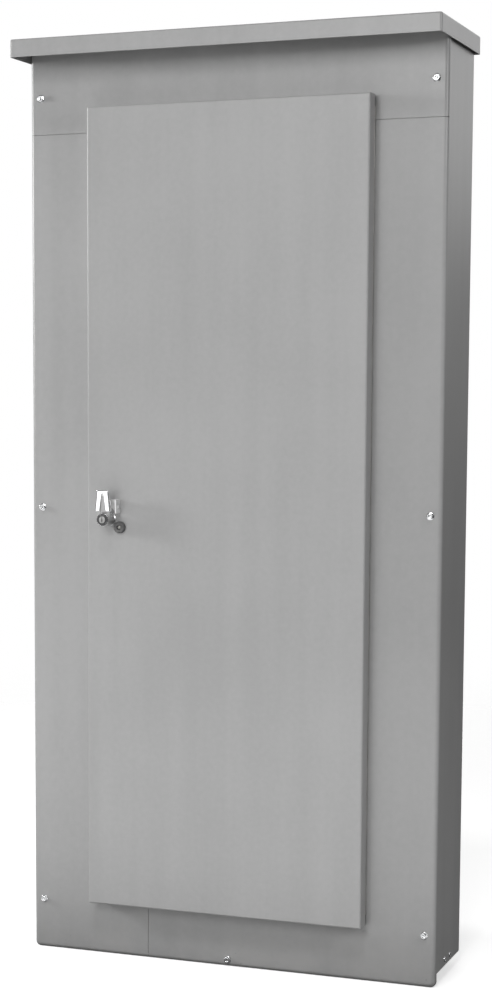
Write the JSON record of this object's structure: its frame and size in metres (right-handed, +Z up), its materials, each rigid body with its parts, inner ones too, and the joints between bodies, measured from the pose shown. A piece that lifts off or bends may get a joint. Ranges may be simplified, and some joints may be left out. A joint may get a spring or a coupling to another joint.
{
  "type": "roadside utility cabinet",
  "caption": "Outdoor sheet-steel power distribution cabinet with a drip hood, screwed front plates, a raised pan door with a lever latch, and rear wall rails.",
  "frame": {"origin": "on the ground, midway across the width and midway between the roof's front edge and the wall plane", "axes": "+Z up, -Y out of the front, +X to the right as seen from the front"},
  "size_m": [0.825, 0.296, 1.753],
  "materials": {
    "cabinet_paint": "smooth satin grey powder coat",
    "zinc_steel": "bright zinc plate",
    "galvanised": "dull galvanised sheet",
    "chrome": "polished",
    "lock_face": "satin black",
    "plug_metal": "fine turned",
    "black_rubber": "matt",
    "gasket_foam": "closed-cell foam",
    "copper_bus": "drawn copper bar",
    "bus_insulator": "glass-filled polyester",
    "breaker_case": "moulded, fine texture",
    "toggle_plastic": "moulded",
    "bar_aluminium": "sawn bar",
    "support_plastic": "moulded nylon"
  },
  "bodies": {
    "root": {"roof_hood": "cabinet_paint", "back_box": "cabinet_paint", "top_end_wall": "cabinet_paint", "bottom_end_wall": "cabinet_paint", "front_top_plate": "cabinet_paint", "front_left_plate": "cabinet_paint", "front_right_plate": "cabinet_paint", "seam_splice_left": "cabinet_paint", "seam_splice_right": "cabinet_paint", "seam_splice_bottom": "cabinet_paint", "mounting_rail_left": "cabinet_paint", "mounting_rail_right": "cabinet_paint", "deadfront_cover": "cabinet_paint", "front_screws": "zinc_steel", "end_wall_screws": "zinc_steel", "hinge_frame_leaf": "zinc_steel", "hinge_pin": "zinc_steel", "deadfront_posts": "zinc_steel", "inner_pan": "galvanised", "busbar_left": "copper_bus", "busbar_centre": "copper_bus", "busbar_right": "copper_bus", "bus_support_top": "bus_insulator", "bus_support_bottom": "bus_insulator", "main_breaker": "breaker_case", "branch_breaker_1": "breaker_case", "branch_breaker_2": "breaker_case", "branch_breaker_3": "breaker_case", "branch_breaker_4": "breaker_case", "branch_breaker_5": "breaker_case", "branch_breaker_6": "breaker_case", "neutral_bar": "bar_aluminium", "earth_bar": "bar_aluminium", "neutral_supports": "support_plastic"},
    "door": {"door": "cabinet_paint", "hinge_door_leaf": "zinc_steel", "door_gasket": "gasket_foam", "door_stiffener": "cabinet_paint", "drawing_pocket": "cabinet_paint", "handle_bushing": "zinc_steel", "bushing_nut": "zinc_steel", "padlock_hasp": "zinc_steel", "lever_rest": "black_rubber", "upper_rod_guides": "zinc_steel", "lower_rod_guides": "zinc_steel"},
    "handle": {"lever_handle": "chrome", "lock_body": "lock_face", "handle_shaft": "zinc_steel", "latch_cam": "zinc_steel"},
    "lock": {"lock_plug": "plug_metal"},
    "upper_rod": {"upper_latch_rod": "zinc_steel"},
    "lower_rod": {"lower_latch_rod": "zinc_steel"},
    "main_toggle": {"main_toggle": "toggle_plastic"},
    "branch_toggle_1": {"branch_toggle_1": "toggle_plastic"},
    "branch_toggle_2": {"branch_toggle_2": "toggle_plastic"},
    "branch_toggle_3": {"branch_toggle_3": "toggle_plastic"},
    "branch_toggle_4": {"branch_toggle_4": "toggle_plastic"},
    "branch_toggle_5": {"branch_toggle_5": "toggle_plastic"},
    "branch_toggle_6": {"branch_toggle_6": "toggle_plastic"}
  },
  "joints": [
    {"name": "door_hinge", "type": "hinge", "parent": "root", "child": "door", "pos_m": [0.2707, -0.07165, 0.868], "axis": [0, 0, 1], "range_deg": [0, 90]},
    {"name": "handle_turn", "type": "hinge", "parent": "door", "child": "handle", "pos_m": [-0.2295, -0.106, 0.858], "axis": [0, 1, 0], "range_deg": [0, 90]},
    {"name": "lock_turn", "type": "hinge", "parent": "handle", "child": "lock", "pos_m": [-0.2295, -0.139, 0.858], "axis": [0, 1, 0], "range_deg": [0, 90]},
    {"name": "upper_rod_slide", "type": "slide", "parent": "door", "child": "upper_rod", "axis": [0, 0, 1], "range_m": [0, 0.02546]},
    {"name": "lower_rod_slide", "type": "slide", "parent": "door", "child": "lower_rod", "axis": [0, 0, -1], "range_m": [0, 0.02546]},
    {"name": "main_toggle_tilt", "type": "hinge", "parent": "root", "child": "main_toggle", "pos_m": [0, -0.0166, 1.45], "axis": [1, 0, 0], "range_deg": [0, 32]},
    {"name": "branch_toggle_1_tilt", "type": "hinge", "parent": "root", "child": "branch_toggle_1", "pos_m": [-0.095, -0.0166, 0.94], "axis": [0, 0, -1], "range_deg": [0, 32]},
    {"name": "branch_toggle_2_tilt", "type": "hinge", "parent": "root", "child": "branch_toggle_2", "pos_m": [0.095, -0.0166, 0.94], "axis": [0, 0, 1], "range_deg": [0, 32]},
    {"name": "branch_toggle_3_tilt", "type": "hinge", "parent": "root", "child": "branch_toggle_3", "pos_m": [-0.095, -0.0166, 1.058], "axis": [0, 0, -1], "range_deg": [0, 32]},
    {"name": "branch_toggle_4_tilt", "type": "hinge", "parent": "root", "child": "branch_toggle_4", "pos_m": [0.095, -0.0166, 1.058], "axis": [0, 0, 1], "range_deg": [0, 32]},
    {"name": "branch_toggle_5_tilt", "type": "hinge", "parent": "root", "child": "branch_toggle_5", "pos_m": [-0.095, -0.0166, 1.176], "axis": [0, 0, -1], "range_deg": [0, 32]},
    {"name": "branch_toggle_6_tilt", "type": "hinge", "parent": "root", "child": "branch_toggle_6", "pos_m": [0.095, -0.0166, 1.176], "axis": [0, 0, 1], "range_deg": [0, 32]}
  ],
  "couplings": [
    {"joint": "upper_rod_slide", "follows": "handle_turn", "m_per_rad": 0.016206},
    {"joint": "lower_rod_slide", "follows": "handle_turn", "m_per_rad": 0.016206}
  ]
}
